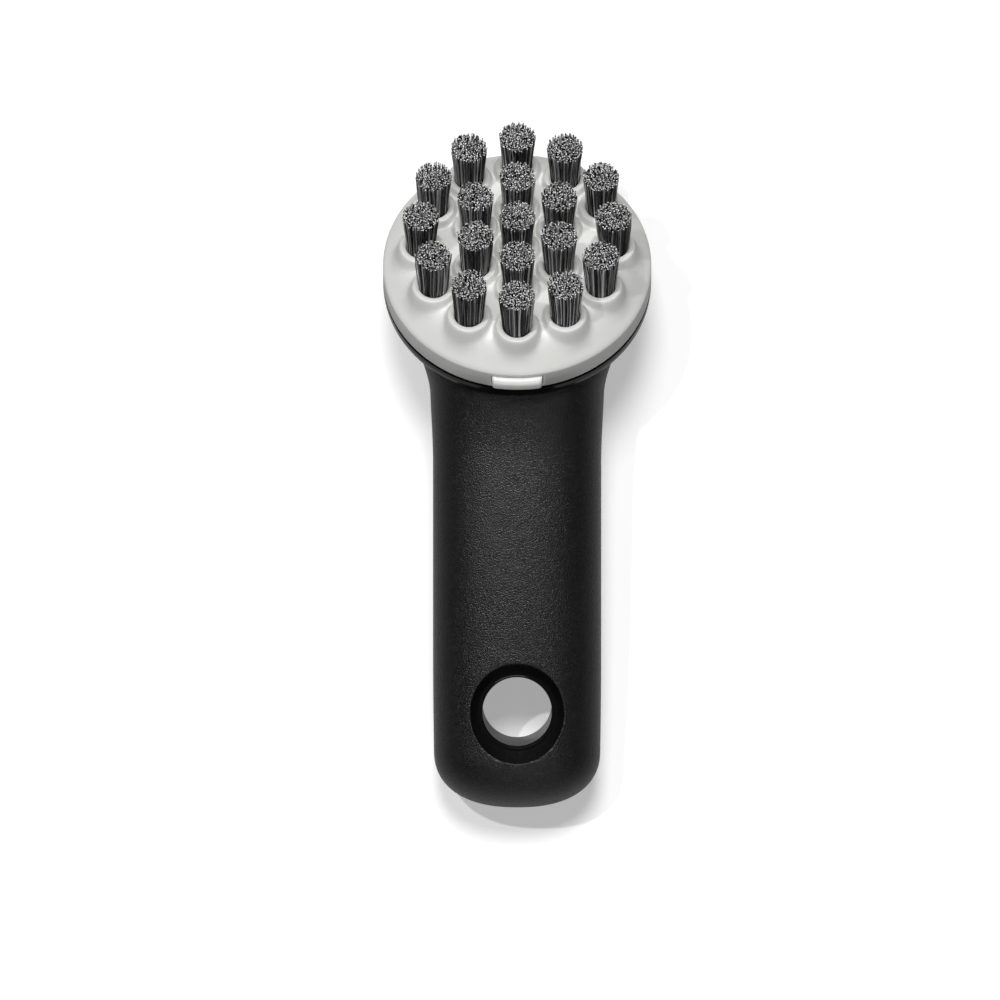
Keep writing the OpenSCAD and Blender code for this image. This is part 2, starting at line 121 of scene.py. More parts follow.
# The grip: a thick skin of black thermoplastic rubber, moulded over the core from the handle's end to the
# back of the cup. Its faces carry a fine even grain. A conical recess round the hanging hole, with a softly
# rounded edge, shows the ring of the core in each face.

MM = 0.001
HANDLE_END_Y = -66.346
HANDLE_W = 32.5
HANDLE_T = 20.6
HANDLE_END_LEN = 11.0
HANDLE_END_CURVE = 2.335
HANDLE_TAPER = 0.25
HANDLE_TAPER_LEN = 28.0
HANDLE_EDGE_LEN = 9.5
HANDLE_EDGE_CURVE = 2.2
SECTION_CURVE = 2.35
KEEL_CURVE = 2.0
ARCH_R = 500.0
ARCH_TOP_Y = 83.652
ARCH_Z = 15.947
HEAD_R = 25.9
HEAD_Y = 102.3
HEAD_Z = 17.393
HEAD_TILT = math.radians(34.4)
NECK_RISE = 2.9
NECK_SPREAD = 0.6
NECK_DEPTH = 1.4
RISE_Y = HEAD_Y - 1.38 * HEAD_R
FLARE_Y = HEAD_Y - 0.86 * HEAD_R
KEEL_Y = HEAD_Y - 0.25 * HEAD_R
KEEL_W = 0.815 * HEAD_R
KEEL_END_Y = HEAD_Y + 0.44 * HEAD_R
KEEL_DROP = 1.6
GRIP_AROUND = 112
GRIP_BLACK = (0.0022, 0.0022, 0.0026)
GRIP_GREY = (0.0035, 0.0035, 0.004)
GRIP_GRAIN = 0.00022
GRIP_GRAIN_DEPTH = 0.00010
GRIP_PATCH = 0.012
GRIP_ROUGHNESS = (0.34, 0.50)
GRIP_SHINE = 0.42
PATCH_DETAIL = 3.0
GRAIN_DETAIL = 0.0
GRIP_SHARP = 50
END_SECTIONS = 22
END_START = 0.6
BODY_SECTIONS = 30
FLARE_SECTIONS = 34
KEEL_SECTIONS = 14

HOLE_Y = 19.4
HOLE_TILT = math.asin((ARCH_TOP_Y - HOLE_Y) / ARCH_R)
HOLE_Z = ARCH_Z - (ARCH_TOP_Y - HOLE_Y) ** 2 / (2 * ARCH_R)
RING_HEIGHT = 6.9
RING_OUT_R = 7.65
SLEEVE_MID_R = 8.0
SLEEVE_STEP = 0.02
RECESS_WIDTH = 2.05
RECESS_DEPTH = 3.4
RECESS_SLOPE = RECESS_WIDTH / RECESS_DEPTH
LIP_STEPS = ((0.0, 0.42), (0.05, 0.24), (0.13, 0.11), (0.24, 0.03), (0.38, -0.02), (0.9, -1.5))
LIP_FITS = 12


def ease(t):
    """Smooth step from 0 to 1."""
    t = min(max(t, 0.0), 1.0)
    return t * t * (3 - 2 * t)


def cap_share(y, length, curve):
    """Superellipse rise from 0 at the tip to 1 after a length."""
    if y >= length:
        return 1.0
    return (1 - ((length - y) / length) ** curve) ** (1 / curve)


def arch_height(y):
    return ARCH_Z - (ARCH_TOP_Y - min(y, ARCH_TOP_Y)) ** 2 / (2 * ARCH_R)


def grip_half_width(y):
    if y >= KEEL_Y:
        return KEEL_W * math.sqrt(max(0.0, 1 - ((y - KEEL_Y) / (KEEL_END_Y - KEEL_Y)) ** 2))
    spread = NECK_SPREAD * ease((y - RISE_Y) / (ARCH_TOP_Y - RISE_Y))
    flare = (KEEL_W - NECK_SPREAD - HANDLE_W / 2) * ease((y - FLARE_Y) / (KEEL_Y - FLARE_Y))
    body = HANDLE_W / 2 - HANDLE_TAPER * (1 - ease(y / HANDLE_TAPER_LEN))
    return body * cap_share(y, HANDLE_END_LEN, HANDLE_END_CURVE) + spread + flare


def grip_top(y):
    top = arch_height(y) + HANDLE_T / 2 * cap_share(y, HANDLE_EDGE_LEN, HANDLE_EDGE_CURVE)
    if y < RISE_Y:
        return top
    parting = HEAD_Z + (HEAD_Y - y) * math.tan(HEAD_TILT)
    rise = NECK_RISE * ((y - RISE_Y) / (ARCH_TOP_Y - RISE_Y)) ** 2
    return min(top + rise, parting - NECK_DEPTH)


def grip_bottom(y):
    half = HANDLE_T / 2 * cap_share(y, HANDLE_EDGE_LEN, HANDLE_EDGE_CURVE)
    return arch_height(y) - half - KEEL_DROP * ease((y - ARCH_TOP_Y) / (KEEL_END_Y - ARCH_TOP_Y))


def section_curve(y):
    """How square the grip's section is: squarish along the handle, an ellipse where its keel ends."""
    return SECTION_CURVE + (KEEL_CURVE - SECTION_CURVE) * ease((y - FLARE_Y) / (KEEL_END_Y - FLARE_Y))


def grip_ring(y):
    """One section of the grip, as points around it."""
    power = 2 / section_curve(y)
    middle = (grip_top(y) + grip_bottom(y)) / 2
    half = (grip_top(y) - grip_bottom(y)) / 2
    ring = []
    for i in range(GRIP_AROUND):
        a = 2 * math.pi * i / GRIP_AROUND
        across = math.copysign(abs(math.cos(a)) ** power, math.cos(a))
        up = math.copysign(abs(math.sin(a)) ** power, math.sin(a))
        ring.append((grip_half_width(y) * across, y, middle + half * up))
    return ring


def grip_surface(x, y, side):
    """Height of the grip's face at a place: side 1 is the top, side -1 the underside."""
    middle = (grip_top(y) + grip_bottom(y)) / 2
    half = (grip_top(y) - grip_bottom(y)) / 2
    share = min(abs(x) / grip_half_width(y), 1.0)
    return middle + side * half * (1 - share ** SECTION_CURVE) ** (1 / SECTION_CURVE)


def skin_of(rings):
    """Faces between rings of equal count, with both ends closed."""
    count = len(rings[0])
    faces = []
    for s in range(len(rings) - 1):
        for i in range(count):
            j = (i + 1) % count
            faces.append((s * count + i, s * count + j, (s + 1) * count + j, (s + 1) * count + i))
    last = (len(rings) - 1) * count
    faces.append(tuple(reversed(range(count))))
    faces.append(tuple(range(last, last + count)))
    return faces


def mesh_piece(name, points, faces, place):
    """A new piece from points in millimetres, set in place and with its faces turned outward."""
    mesh = bpy.data.meshes.new(name)
    mesh.from_pydata([place @ Vector(p) * MM for p in points], [], faces)
    piece = bpy.data.objects.new(name, mesh)
    bpy.context.scene.collection.objects.link(piece)
    build = bmesh.new()
    build.from_mesh(mesh)
    bmesh.ops.recalc_face_normals(build, faces=build.faces)
    build.to_mesh(mesh)
    build.free()
    return piece


def ringed_piece(name, rings, place):
    """A closed piece whose skin runs over rings of equal count."""
    return mesh_piece(name, [p for ring in rings for p in ring], skin_of(rings), place)


def carve(piece, cutter):
    """Cuts the cutter's space out of the piece and removes the cutter."""
    cut = piece.modifiers.new("cut", "BOOLEAN")
    cut.operation = "DIFFERENCE"
    cut.solver = "EXACT"
    cut.object = cutter
    bake_modifiers(piece)
    bpy.data.objects.remove(cutter)


def bake_modifiers(piece):
    """Turns a piece's modifiers into its own mesh."""
    ready = piece.evaluated_get(bpy.context.evaluated_depsgraph_get())
    mesh = bpy.data.meshes.new_from_object(ready)
    piece.modifiers.clear()
    piece.data = mesh


def smooth(piece, angle):
    """Shades a piece softly, but keeps the edges that are sharper than an angle in degrees."""
    for polygon in piece.data.polygons:
        polygon.use_smooth = True
    piece.data.set_sharp_from_angle(angle=math.radians(angle))


def lathe_rings(profile, around):
    """Rings of points about Z from a profile of radius and height."""
    turns = [2 * math.pi * i / around for i in range(around)]
    return [[(r * math.cos(a), r * math.sin(a), z) for a in turns] for r, z in profile]


ON_BENCH = Matrix.Translation((0, HANDLE_END_Y, 0))
ON_HEAD = Matrix.Translation((0, HEAD_Y + HANDLE_END_Y, HEAD_Z)) @ Matrix.Rotation(-HEAD_TILT, 4, "X")
ON_HOLE = Matrix.Translation((0, HOLE_Y + HANDLE_END_Y, HOLE_Z)) @ Matrix.Rotation(HOLE_TILT, 4, "X")


def stations():
    """Places of the grip's sections: close together at its end and under the head."""
    ends = [HANDLE_END_LEN * (1 - math.cos(math.pi / 2 * (i + END_START) / END_SECTIONS))
            for i in range(END_SECTIONS)]
    body = np.linspace(HANDLE_END_LEN, RISE_Y, BODY_SECTIONS)
    flare = np.linspace(RISE_Y, KEEL_Y, FLARE_SECTIONS)[1:]
    keel = [KEEL_Y + (KEEL_END_Y - KEEL_Y) * math.sin(math.pi / 2 * i / KEEL_SECTIONS)
            for i in range(1, KEEL_SECTIONS)]
    return [*ends, *body, *flare, *keel]


def lip_ring(side, beyond, below):
    """A ring of the hole's cutter that follows the grip's face, a little out from the recess's edge."""
    ring = []
    for i in range(GRIP_AROUND):
        a = 2 * math.pi * i / GRIP_AROUND
        height = RING_HEIGHT + RECESS_DEPTH
        for _ in range(LIP_FITS):
            r = RING_OUT_R + RECESS_SLOPE * (height - RING_HEIGHT) + beyond
            at = ON_HOLE @ Vector((r * math.cos(a), r * math.sin(a), side * height))
            face = grip_surface(at.x, at.y - HANDLE_END_Y, side)
            height += side * (face - at.z)
        ring.append((r * math.cos(a), r * math.sin(a), side * (height - below)))
    return ring


grip = ringed_piece("soft_grip", [grip_ring(y) for y in stations()], ON_BENCH)
plain = lathe_rings([(RING_OUT_R, -RING_HEIGHT), (SLEEVE_MID_R, -RING_HEIGHT + SLEEVE_STEP),
                     (SLEEVE_MID_R, RING_HEIGHT - SLEEVE_STEP), (RING_OUT_R, RING_HEIGHT)], GRIP_AROUND)
lower = [lip_ring(-1, *step) for step in reversed(LIP_STEPS)]
upper = [lip_ring(1, *step) for step in LIP_STEPS]
carve(grip, ringed_piece("hole_cutter", [*lower, *plain, *upper], ON_HOLE))

CUP_UPRIGHT = 1.5
CUP_ROUND = 3.5
CUP_OVERLAP = 0.04
CUP_CUT_TOP = 3.0
CUP_AXIS_R = 0.01
CUP_BELLY_R = 0.47 * HEAD_R
CUP_BELLY_Z = -8.5
CUP_BACK_Z = -9.0
CUP_STEPS = 12
CUP_AROUND = 180
cup_profile = [(CUP_AXIS_R, CUP_CUT_TOP), (HEAD_R - CUP_OVERLAP, CUP_CUT_TOP)]
for step in range(CUP_STEPS + 1):
    a = -math.pi / 2 * step / CUP_STEPS
    cup_profile.append((HEAD_R - CUP_ROUND + (CUP_ROUND - CUP_OVERLAP) * math.cos(a),
                        -CUP_UPRIGHT + (CUP_ROUND - CUP_OVERLAP) * math.sin(a)))
cup_profile += [(CUP_BELLY_R, CUP_BELLY_Z + CUP_OVERLAP), (CUP_AXIS_R, CUP_BACK_Z + CUP_OVERLAP)]
carve(grip, ringed_piece("cup_cutter", lathe_rings(cup_profile, CUP_AROUND), ON_HEAD))
smooth(grip, GRIP_SHARP)

grip_rubber = plastic("grip_rubber", GRIP_BLACK, GRIP_ROUGHNESS[1], GRIP_SHINE)
tint(grip_rubber, noise_over(grip_rubber, GRIP_PATCH, PATCH_DETAIL), GRIP_BLACK, GRIP_GREY)
vary(grip_rubber, noise_over(grip_rubber, GRIP_GRAIN, GRAIN_DETAIL), "Roughness", *GRIP_ROUGHNESS)
emboss(grip_rubber, noise_over(grip_rubber, GRIP_GRAIN, GRAIN_DETAIL), GRIP_GRAIN_DEPTH)
dress(grip, grip_rubber)
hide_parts("grip")
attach(grip, "handle")

# The bristle plate: a light warm grey moulding, domed, with an upright band round its rim. Each tuft stands
# in a collar with a rounded lip, which runs into the plate in a broad soft fillet. Underneath it is hollow,
# with a boss for each tuft, a spigot that fits the cup and the guides of the tab.

RIM_H = 4.6
PLATEAU_Z = 9.6
COLLAR_Z = 11.0
TUFT_FLOOR_Z = 4.9
BOSS_Z = 3.6
BORE_R = 2.9
LIP_ROUND = 0.32
COLLAR_EDGE_R = 4.2
COLLAR_STEEP = 5.0
COLLAR_SHOULDER = 1.7
COLLAR_FILLET = (1.1, 3.0)
SHOULDER = 2.6
CREASE_ROUND = 0.45
CREASE_DROP = 0.5
LIP_DROP = 0.6
TUFT_RINGS = (("tuft_inner", 6, 9.3), ("tuft_outer", 12, 18.6))
BORE_AROUND = 44
LIP_RADII = (2.9, 2.96, 3.05, 3.22, 3.45, 3.62, 3.76, 3.87,
             3.97, 4.07, 4.17, 4.28, 4.42, 4.6, 4.85, 5.2)
RIM_INSETS = (0.0, 0.06, 0.16, 0.3, 0.5, 0.9, 1.4)
RIM_AROUND = 200
SHEET_PITCH = 0.75
SHEET_GAP = 0.2
NEAR = 0.01
BORE_SLACK = 0.03
SPIGOT_R = 23.2
HOLLOW_R = 21.7
ROOF_Z = 7.1
BOSS_R = 4.0
UNDER_RADII = (3.0, BOSS_R, BOSS_R + 0.15)
UNDER_AROUND = 32
PLATE_GREY = (0.66, 0.66, 0.64)
PLATE_LIGHT = (0.695, 0.695, 0.675)
PLATE_PATCH = 0.01
PLATE_CLOUD = 0.003
PLATE_GRAIN = 0.00035
PLATE_GRAIN_DEPTH = 0.00002
SATIN = 0.38
SATIN_RANGE = (0.32, 0.44)
MOULDED_SHARP = 40


def tuft_places():
    """Name and place of each tuft on the plate."""
    places = [("tuft_centre", 0.0, 0.0)]
    for name, count, r in TUFT_RINGS:
        for i in range(1, count + 1):
            a = math.pi / 2 + 2 * math.pi * i / count
            places.append((f"{name}_{i}", r * math.cos(a), r * math.sin(a)))
    return places


centres = np.array([(x, y) for _, x, y in tuft_places()])


def soft_max(a, b, width):
    """The higher of two heights, with a fillet where they cross."""
    near = np.clip(width - np.abs(a - b), 0, None) / width
    return np.maximum(a, b) + near * near * width / 4


def plate_top(x, y):
    """Height of the plate's outer face: a dome that falls to the rim, with a collar at each tuft."""
    r = np.hypot(x, y)
    dome = -soft_max(np.full_like(r, -PLATEAU_Z), -(RIM_H + HEAD_R - r), SHOULDER)
    rim = np.clip((r - (HEAD_R - CREASE_ROUND)) / CREASE_ROUND, 0, 1)
    height = dome - CREASE_DROP * CREASE_ROUND * rim * rim
    fillet = np.clip(COLLAR_Z - dome, *COLLAR_FILLET)
    for cx, cy in centres:
        away = np.hypot(x - cx, y - cy)
        wall = COLLAR_Z - COLLAR_STEEP * (away - COLLAR_EDGE_R)
        collar = -soft_max(np.full_like(away, -COLLAR_Z), -wall, COLLAR_SHOULDER)
        bore_lip = np.clip((BORE_R + LIP_ROUND - away) / LIP_ROUND, 0, 1)
        height = soft_max(height, collar, fillet) - LIP_DROP * LIP_ROUND * bore_lip * bore_lip
    return height


def plate_underside(x, y):
    """Height of the plate's inner face: a flat roof with a boss under each tuft."""
    roof = np.full_like(x, ROOF_Z)
    for cx, cy in centres:
        roof = np.where(np.hypot(x - cx, y - cy) < BOSS_R + NEAR, BOSS_Z, roof)
    return roof


def circle(cx, cy, r, around):
    """Places round a circle."""
    turns = 2 * np.pi * np.arange(around) / around
    return np.column_stack([cx + r * np.cos(turns), cy + r * np.sin(turns)])


def sheet_points(radii, around, rims, limit_r):
    """Places over the plate: rings round each tuft, rings along the rim and a loose grid between them."""
    rings = [circle(cx, cy, r, around) for cx, cy in centres for r in radii]
    owners = [k for k in range(len(centres)) for _ in radii]
    points = []
    for owner, ring in zip(owners, rings):
        away = np.hypot(ring[:, None, 0] - centres[None, :, 0], ring[:, None, 1] - centres[None, :, 1])
        mine = away[:, owner] <= away.min(axis=1) + 1e-9
        points.append(ring[mine & (np.hypot(*ring.T) < limit_r)])
    points += [circle(0, 0, r, RIM_AROUND) for r in rims]
    steps = np.arange(-HEAD_R, HEAD_R, SHEET_PITCH)
    grid = np.array([(x + (j % 2) * SHEET_PITCH / 2, y) for j, y in enumerate(steps) for x in steps])
    away = np.hypot(grid[:, None, 0] - centres[None, :, 0], grid[:, None, 1] - centres[None, :, 1])
    clear = (away.min(axis=1) > radii[-1] + SHEET_PITCH / 2) & (np.hypot(*grid.T) < limit_r - SHEET_PITCH / 2)
    return np.vstack([*points, grid[clear]])


def sheet(points):
    """The flat places and the triangles that join them, over the bores too."""
    flat, _, faces, _, _, _ = delaunay_2d_cdt([Vector(p) for p in points], [], [], 0, 1e-5)
    return np.array([tuple(v) for v in flat]), faces


class Shell:
    """Points and faces of one piece, gathered bit by bit."""

    def __init__(self):
        self.points = []
        self.faces = []

    def add(self, points):
        start = len(self.points)
        self.points += [tuple(p) for p in points]
        return list(range(start, len(self.points)))

    def band(self, one, other):
        """Faces between two rings of equal count."""
        for i in range(len(one)):
            j = (i + 1) % len(one)
            self.faces.append((one[i], one[j], other[j], other[i]))


def ring_of(indices, flat, cx, cy, r, around):
    """The points of a sheet that lie on a circle, in order round it."""
    on = [k for k in indices if abs(math.hypot(flat[k][0] - cx, flat[k][1] - cy) - r) < 1e-3]
    return sorted(on, key=lambda k: math.atan2(flat[k][1] - cy, flat[k][0] - cx) % (2 * math.pi - 1e-6))


plate = Shell()
rim_radii = [HEAD_R - inset for inset in RIM_INSETS]
flat, triangles = sheet(sheet_points(LIP_RADII, BORE_AROUND, rim_radii, rim_radii[-1] - SHEET_GAP))
top = plate.add(np.column_stack([flat, plate_top(flat[:, 0], flat[:, 1])]))
for face in triangles:
    middle = flat[list(face)].mean(axis=0)
    if np.hypot(*(centres - middle).T).min() > BORE_R - BORE_SLACK:
        plate.faces.append(tuple(top[k] for k in face))
for cx, cy in centres:
    near = np.flatnonzero(np.hypot(flat[:, 0] - cx, flat[:, 1] - cy) < BORE_R + NEAR)
    mouth = ring_of(near, flat, cx, cy, BORE_R, BORE_AROUND)
    floor = plate.add([(flat[k][0], flat[k][1], TUFT_FLOOR_Z) for k in mouth])
    plate.band([top[k] for k in mouth], floor)
    plate.faces.append(tuple(floor))
rim = ring_of(range(len(flat)), flat, 0, 0, HEAD_R, RIM_AROUND)
edge = [top[k] for k in rim]
BAND_STEPS = ((HEAD_R, 4.1), (HEAD_R, 0.3), (HEAD_R - 0.1, 0.08), (HEAD_R - 0.3, 0.0), (SPIGOT_R, 0.0),
              (SPIGOT_R, -2.7), (SPIGOT_R - 0.3, -3.0), (HOLLOW_R + 0.3, -3.0), (HOLLOW_R, -2.7))
for r, z in BAND_STEPS:
    lower_edge = plate.add([(flat[k][0] * r / HEAD_R, flat[k][1] * r / HEAD_R, z) for k in rim])
    plate.band(edge, lower_edge)
    edge = lower_edge
under, triangles = sheet(sheet_points(UNDER_RADII, UNDER_AROUND, (HOLLOW_R,), HOLLOW_R - SHEET_GAP / 2))
below = plate.add(np.column_stack([under, plate_underside(under[:, 0], under[:, 1])]))
plate.faces += [tuple(below[k] for k in face) for face in triangles]
hollow_rim = ring_of(range(len(under)), under, 0, 0, HOLLOW_R, RIM_AROUND)
plate.band(edge, [below[k] for k in hollow_rim])
plate_piece = mesh_piece("bristle_plate", plate.points, plate.faces, ON_HEAD)


def block(name, low, high):
    """A box between two corners, in the head's own place."""
    points = [(x, y, z) for x in (low[0], high[0]) for y in (low[1], high[1]) for z in (low[2], high[2])]
    faces = [(0, 1, 3, 2), (4, 6, 7, 5), (0, 4, 5, 1), (2, 3, 7, 6), (0, 2, 6, 4), (1, 5, 7, 3)]
    return mesh_piece(name, points, faces, ON_HEAD)


def join(piece, others):
    """Adds the other pieces to the first one's mesh."""
    build = bmesh.new()
    for each in [piece, *others]:
        build.from_mesh(each.data)
    build.to_mesh(piece.data)
    build.free()
    for each in others:
        bpy.data.objects.remove(each)


TAB_W = 9.7
TAB_TOP_Z = 3.45
TAB_BOTTOM_Z = 0.95
TAB_CLEAR = 0.15
LEG_W = 5.82
OVERCUT = 1
LEG_SLOT_Z = -4
SEAT_HALF_W = 2.2
SEAT_Y = (-6.4, -5.2)
RAIL_Y = (-19.6, -13.2)
RAIL_T = 1.2
RAIL_Z = -0.1
RAIL_LIP_Z = 0.8
RAIL_BITE = 0.1
GUIDE_TOP_Z = ROOF_Z + 0.5
window_w = TAB_W / 2 + TAB_CLEAR
slot_w = LEG_W / 2 + TAB_CLEAR
carve(plate_piece, block("tab_window", (-window_w, -HEAD_R - OVERCUT, TAB_BOTTOM_Z - TAB_CLEAR),
                         (window_w, -HOLLOW_R + OVERCUT, TAB_TOP_Z + TAB_CLEAR)))
carve(plate_piece, block("leg_slot", (-slot_w, -SPIGOT_R - OVERCUT, LEG_SLOT_Z),
                         (slot_w, -HOLLOW_R + OVERCUT, TAB_BOTTOM_Z)))
guides = [block("spring_seat", (-SEAT_HALF_W, SEAT_Y[0], TAB_BOTTOM_Z), (SEAT_HALF_W, SEAT_Y[1], GUIDE_TOP_Z))]
for side in (-1, 1):
    near, far = sorted((side * window_w, side * (window_w + RAIL_T)))
    guides.append(block("rail", (near, RAIL_Y[0], RAIL_Z), (far, RAIL_Y[1], GUIDE_TOP_Z)))
    near, far = sorted((side * (window_w - RAIL_T), side * (window_w + RAIL_BITE)))
    guides.append(block("rail_lip", (near, RAIL_Y[0], RAIL_Z), (far, RAIL_Y[1], RAIL_LIP_Z)))
join(plate_piece, guides)
smooth(plate_piece, MOULDED_SHARP)


def satin_plastic(name, dark, light, patch, cloud, detail):
    """A pale satin moulding: faint patches of tone, clouds of polish and the mould's fine grain."""
    material = plastic(name, dark, SATIN)
    tint(material, noise_over(material, patch, detail), dark, light)
    vary(material, noise_over(material, cloud, detail), "Roughness", *SATIN_RANGE)
    emboss(material, noise_over(material, PLATE_GRAIN), PLATE_GRAIN_DEPTH)
    return material


dress(plate_piece, satin_plastic("plate_grey", PLATE_GREY, PLATE_LIGHT, PLATE_PATCH, PLATE_CLOUD, PATCH_DETAIL))
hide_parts("brush_plate")
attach(plate_piece, "brush_head")

# The tufts: bundles of dark grey nylon filament, folded over a staple in their holes and trimmed level. They
# spread a little above the collars and their lengths vary slightly. Their cut ends are paler than their sides
# and their tone differs at random from one filament to the next; the palest shafts and ends are painted
# highlights that stand in for glints of light.

FILAMENT_R = 0.118
FILAMENT_PITCH = 0.30
FILAMENT_SIDES = 6
FILAMENT_ROWS = (0.0, 0.33, 0.66, 0.985, 1.0)
FILAMENT_THICKNESS = (0.8, 0.25)
BUNDLE_STEPS = 13
BUNDLE_R = 2.86
ROOT_STRAY = 0.03
TIP_SPREAD = 1.28
SPREAD_CURVE = 1.3
TIP_R = 3.65
BOW = 0.10
TUFT_TOP_Z = 21.25
TUFT_ROOT_Z = 9.6
RAGGED = 0.16
CUT_SHORT = 0.25
CUT_SLANT = 0.06
STRAY = 0.11
TONE_LOW = 0.3
TONE_SPAN = 0.4
# Few filaments are pale: these pale shafts are painted highlights for the glints along the filaments.
PALE_GLINT_FEW = 3.0
FILAMENT_SHARP = 60
# Shaft and cut-end colours run from dark to pale by a random tone; their pale ends are painted highlights for
# glints of light.
SHAFT_DARK = (0.005, 0.005, 0.006)
SHAFT_PALE_GLINT = (0.86, 0.86, 0.865)
END_DARK = (0.04, 0.04, 0.04)
END_PALE_GLINT = (0.95, 0.95, 0.945)
SHAFT_FINISH = (0.45, 0.1)
END_FINISH = (0.5, 0.3)


def filament_material(name, dark, light, roughness, shine):
    """Nylon whose tone differs at random from one filament to the next; its palest filaments are painted
    highlights for glints of light.
    """
    material = plastic(name, dark, roughness, shine)
    tone = material.node_tree.nodes.new("ShaderNodeAttribute")
    tone.attribute_name = "tone"
    tint(material, tone.outputs["Fac"], dark, light)
    return material


shaft_nylon = filament_material("filament_shaft", SHAFT_DARK, SHAFT_PALE_GLINT, *SHAFT_FINISH)
end_nylon = filament_material("filament_end", END_DARK, END_PALE_GLINT, *END_FINISH)


def bundle(seed):
    """Root places of the filaments, packed as in a round hole, and the draws that go on from them."""
    chance = np.random.default_rng(seed)
    steps = np.arange(-BUNDLE_STEPS, BUNDLE_STEPS + 1)
    grid = np.array([((i + (j % 2) / 2) * FILAMENT_PITCH, j * FILAMENT_PITCH * math.sqrt(3) / 2)
                     for j in steps for i in steps])
    grid = grid[np.hypot(*grid.T) < BUNDLE_R - FILAMENT_R]
    turn = chance.uniform(0, math.pi)
    spin = np.array([[math.cos(turn), -math.sin(turn)], [math.sin(turn), math.cos(turn)]])
    return grid @ spin + chance.normal(0, ROOT_STRAY, grid.shape), chance


def filament_faces(count):
    """Sides and both ends of a number of filaments, one after the other."""
    per_filament = FILAMENT_SIDES * len(FILAMENT_ROWS)
    faces = []
    for start in range(0, count * per_filament, per_filament):
        for row in range(len(FILAMENT_ROWS) - 1):
            a = start + row * FILAMENT_SIDES
            for i in range(FILAMENT_SIDES):
                j = (i + 1) % FILAMENT_SIDES
                faces.append((a + i, a + j, a + FILAMENT_SIDES + j, a + FILAMENT_SIDES + i))
        faces.append(tuple(start + i for i in reversed(range(FILAMENT_SIDES))))
        faces.append(tuple(start + per_filament - FILAMENT_SIDES + i for i in range(FILAMENT_SIDES)))
    return faces


def tuft_piece(name, place, seed):
    """One tuft, whose filaments spread, bow a little and are trimmed slightly unevenly."""
    roots, chance = bundle(seed)
    count = len(roots)
    tips = roots * TIP_SPREAD + chance.normal(0, STRAY, roots.shape)
    reach = np.hypot(*tips.T)
    tips *= np.minimum(1, (TIP_R - FILAMENT_R) / np.maximum(reach, 1e-6))[:, None]
    bow = chance.normal(0, BOW, roots.shape)
    height = TUFT_TOP_Z - np.abs(chance.normal(0, RAGGED, count)) - CUT_SHORT * chance.random(count)
    turns = 2 * np.pi * np.arange(FILAMENT_SIDES) / FILAMENT_SIDES
    rows = []
    for share in FILAMENT_ROWS:
        middle = roots + (tips - roots) * share ** SPREAD_CURVE + bow * math.sin(math.pi * share)
        level = TUFT_ROOT_Z + (height - TUFT_ROOT_Z) * share
        ring = np.zeros((count, FILAMENT_SIDES, 3))
        thickness = FILAMENT_R * (FILAMENT_THICKNESS[0] + FILAMENT_THICKNESS[1] * share)
        ring[:, :, 0] = middle[:, None, 0] + thickness * np.cos(turns)
        ring[:, :, 1] = middle[:, None, 1] + thickness * np.sin(turns)
        ring[:, :, 2] = level[:, None]
        rows.append(ring)
    slant = chance.normal(0, CUT_SLANT, (count, 1))
    rows[-1][:, :, 2] += slant * np.cos(turns)[None, :] - np.abs(slant)
    points = np.stack(rows, axis=1).reshape(-1, 3) + np.array([place[0], place[1], 0])
    mesh = bpy.data.meshes.new(name)
    mesh.from_pydata([ON_HEAD @ Vector(p) * MM for p in points], [], filament_faces(count))
    mesh.materials.append(shaft_nylon)
    mesh.materials.append(end_nylon)
    tone = mesh.attributes.new("tone", "FLOAT", "POINT")
    # A random tone for each filament's shaft and cut end; the pale ones are painted glints of light.
    tones = np.repeat(TONE_LOW + TONE_SPAN * chance.random((count, 1)) ** PALE_GLINT_FEW,
                      FILAMENT_SIDES * len(FILAMENT_ROWS), axis=1)
    tones[:, -FILAMENT_SIDES:] = TONE_LOW + TONE_SPAN * chance.random((count, 1))
    tone.data.foreach_set("value", tones.ravel())
    for polygon in mesh.polygons:
        is_cut_end = len(polygon.vertices) == FILAMENT_SIDES
        polygon.material_index = int(is_cut_end)
        polygon.use_smooth = not is_cut_end
    mesh.set_sharp_from_angle(angle=math.radians(FILAMENT_SHARP))
    piece = bpy.data.objects.new(name, mesh)
    bpy.context.scene.collection.objects.link(piece)
    return piece


for seed, (node, x, y) in enumerate(tuft_places(), start=1):
    tuft = tuft_piece(node.replace("tuft", "bristles"), (x, y), seed)
    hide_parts(node)
    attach(tuft, "brush_head")

# The staples and the tab's return spring: small drawn steel wire, one staple across each tuft's fold and one
# coil behind the tab. They are pushed in before the plate is closed, and hardly show.

STEEL_GREY = (0.55, 0.56, 0.57)
STEEL_ROUGHNESS = 0.28
STEEL_RANGE = (0.22, 0.4)
DRAWN_MARKS = 0.0008
wire_steel = plastic("wire_steel", STEEL_GREY, STEEL_ROUGHNESS)
wire_steel.node_tree.nodes["Principled BSDF"].inputs["Metallic"].default_value = 1.0
vary(wire_steel, noise_over(wire_steel, DRAWN_MARKS), "Roughness", *STEEL_RANGE)
dress(nodes["tuft_anchors"], wire_steel)
dress(nodes["tab_spring"], wire_steel)

# The release tab: a near-white plastic slide whose rounded thumb button stands out of the rim. It is pushed
# into its guides under the plate through the rim's window, and its tooth clicks under the cup's lip.

